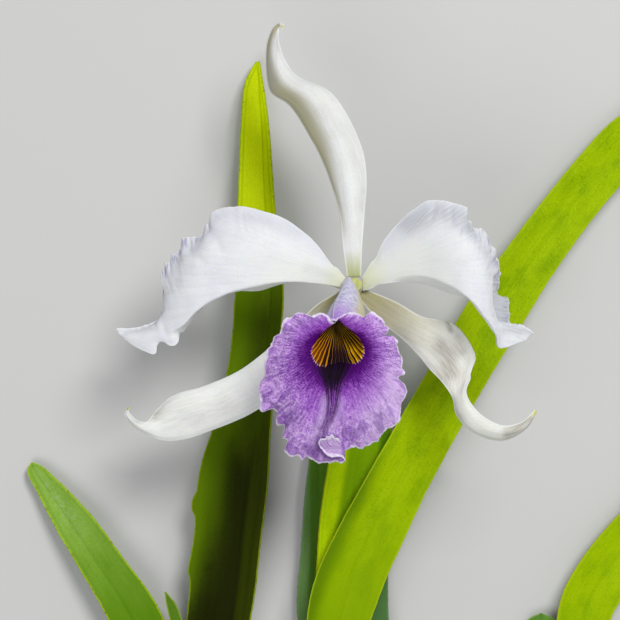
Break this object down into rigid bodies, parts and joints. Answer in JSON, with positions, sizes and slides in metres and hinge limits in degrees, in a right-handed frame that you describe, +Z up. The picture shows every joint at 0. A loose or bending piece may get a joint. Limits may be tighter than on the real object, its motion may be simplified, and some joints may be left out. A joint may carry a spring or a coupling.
{
  "type": "cattleya orchid",
  "caption": "Cut orchid lying on its back: white ruffled petals, cream sepals and a purple lip with a dark-veined golden throat, over strap leaves on a rhizome",
  "frame": {"origin": "middle of the plant's footprint, on the surface that it lies on", "axes": "+Z up, out of the flower's face; +Y from the rhizome towards the dorsal sepal; +X to the right of the flower as seen from above"},
  "size_m": [0.309, 0.4738, 0.1099],
  "materials": {
    "sepal": "matte",
    "petal": "matte",
    "lip": "matte",
    "column": "satin",
    "stalk": "satin",
    "leaf": "satin",
    "deep_leaf": "satin",
    "pseudobulb": "matte",
    "rhizome": "matte"
  },
  "bodies": {
    "root": {"dorsal_sepal": "sepal", "lateral_sepal_left": "sepal", "lateral_sepal_right": "sepal", "petal_left": "petal", "petal_right": "petal", "lip": "lip", "column": "column", "anther_cap": "column", "ovary_pedicel": "stalk", "peduncle": "stalk", "flower_sheath": "stalk", "leaf_left_tall": "leaf", "leaf_right_long": "leaf", "leaf_centre_front": "leaf", "leaf_right_low": "leaf", "leaf_young": "leaf", "leaf_left_low": "deep_leaf", "leaf_centre_back": "deep_leaf", "leaf_right_short": "deep_leaf", "pseudobulb_left_low": "pseudobulb", "pseudobulb_left_tall": "pseudobulb", "pseudobulb_centre_front": "pseudobulb", "pseudobulb_right_long": "pseudobulb", "pseudobulb_centre_back": "pseudobulb", "pseudobulb_right_short": "pseudobulb", "pseudobulb_right_low": "pseudobulb", "rhizome": "rhizome"}
  },
  "joints": []
}
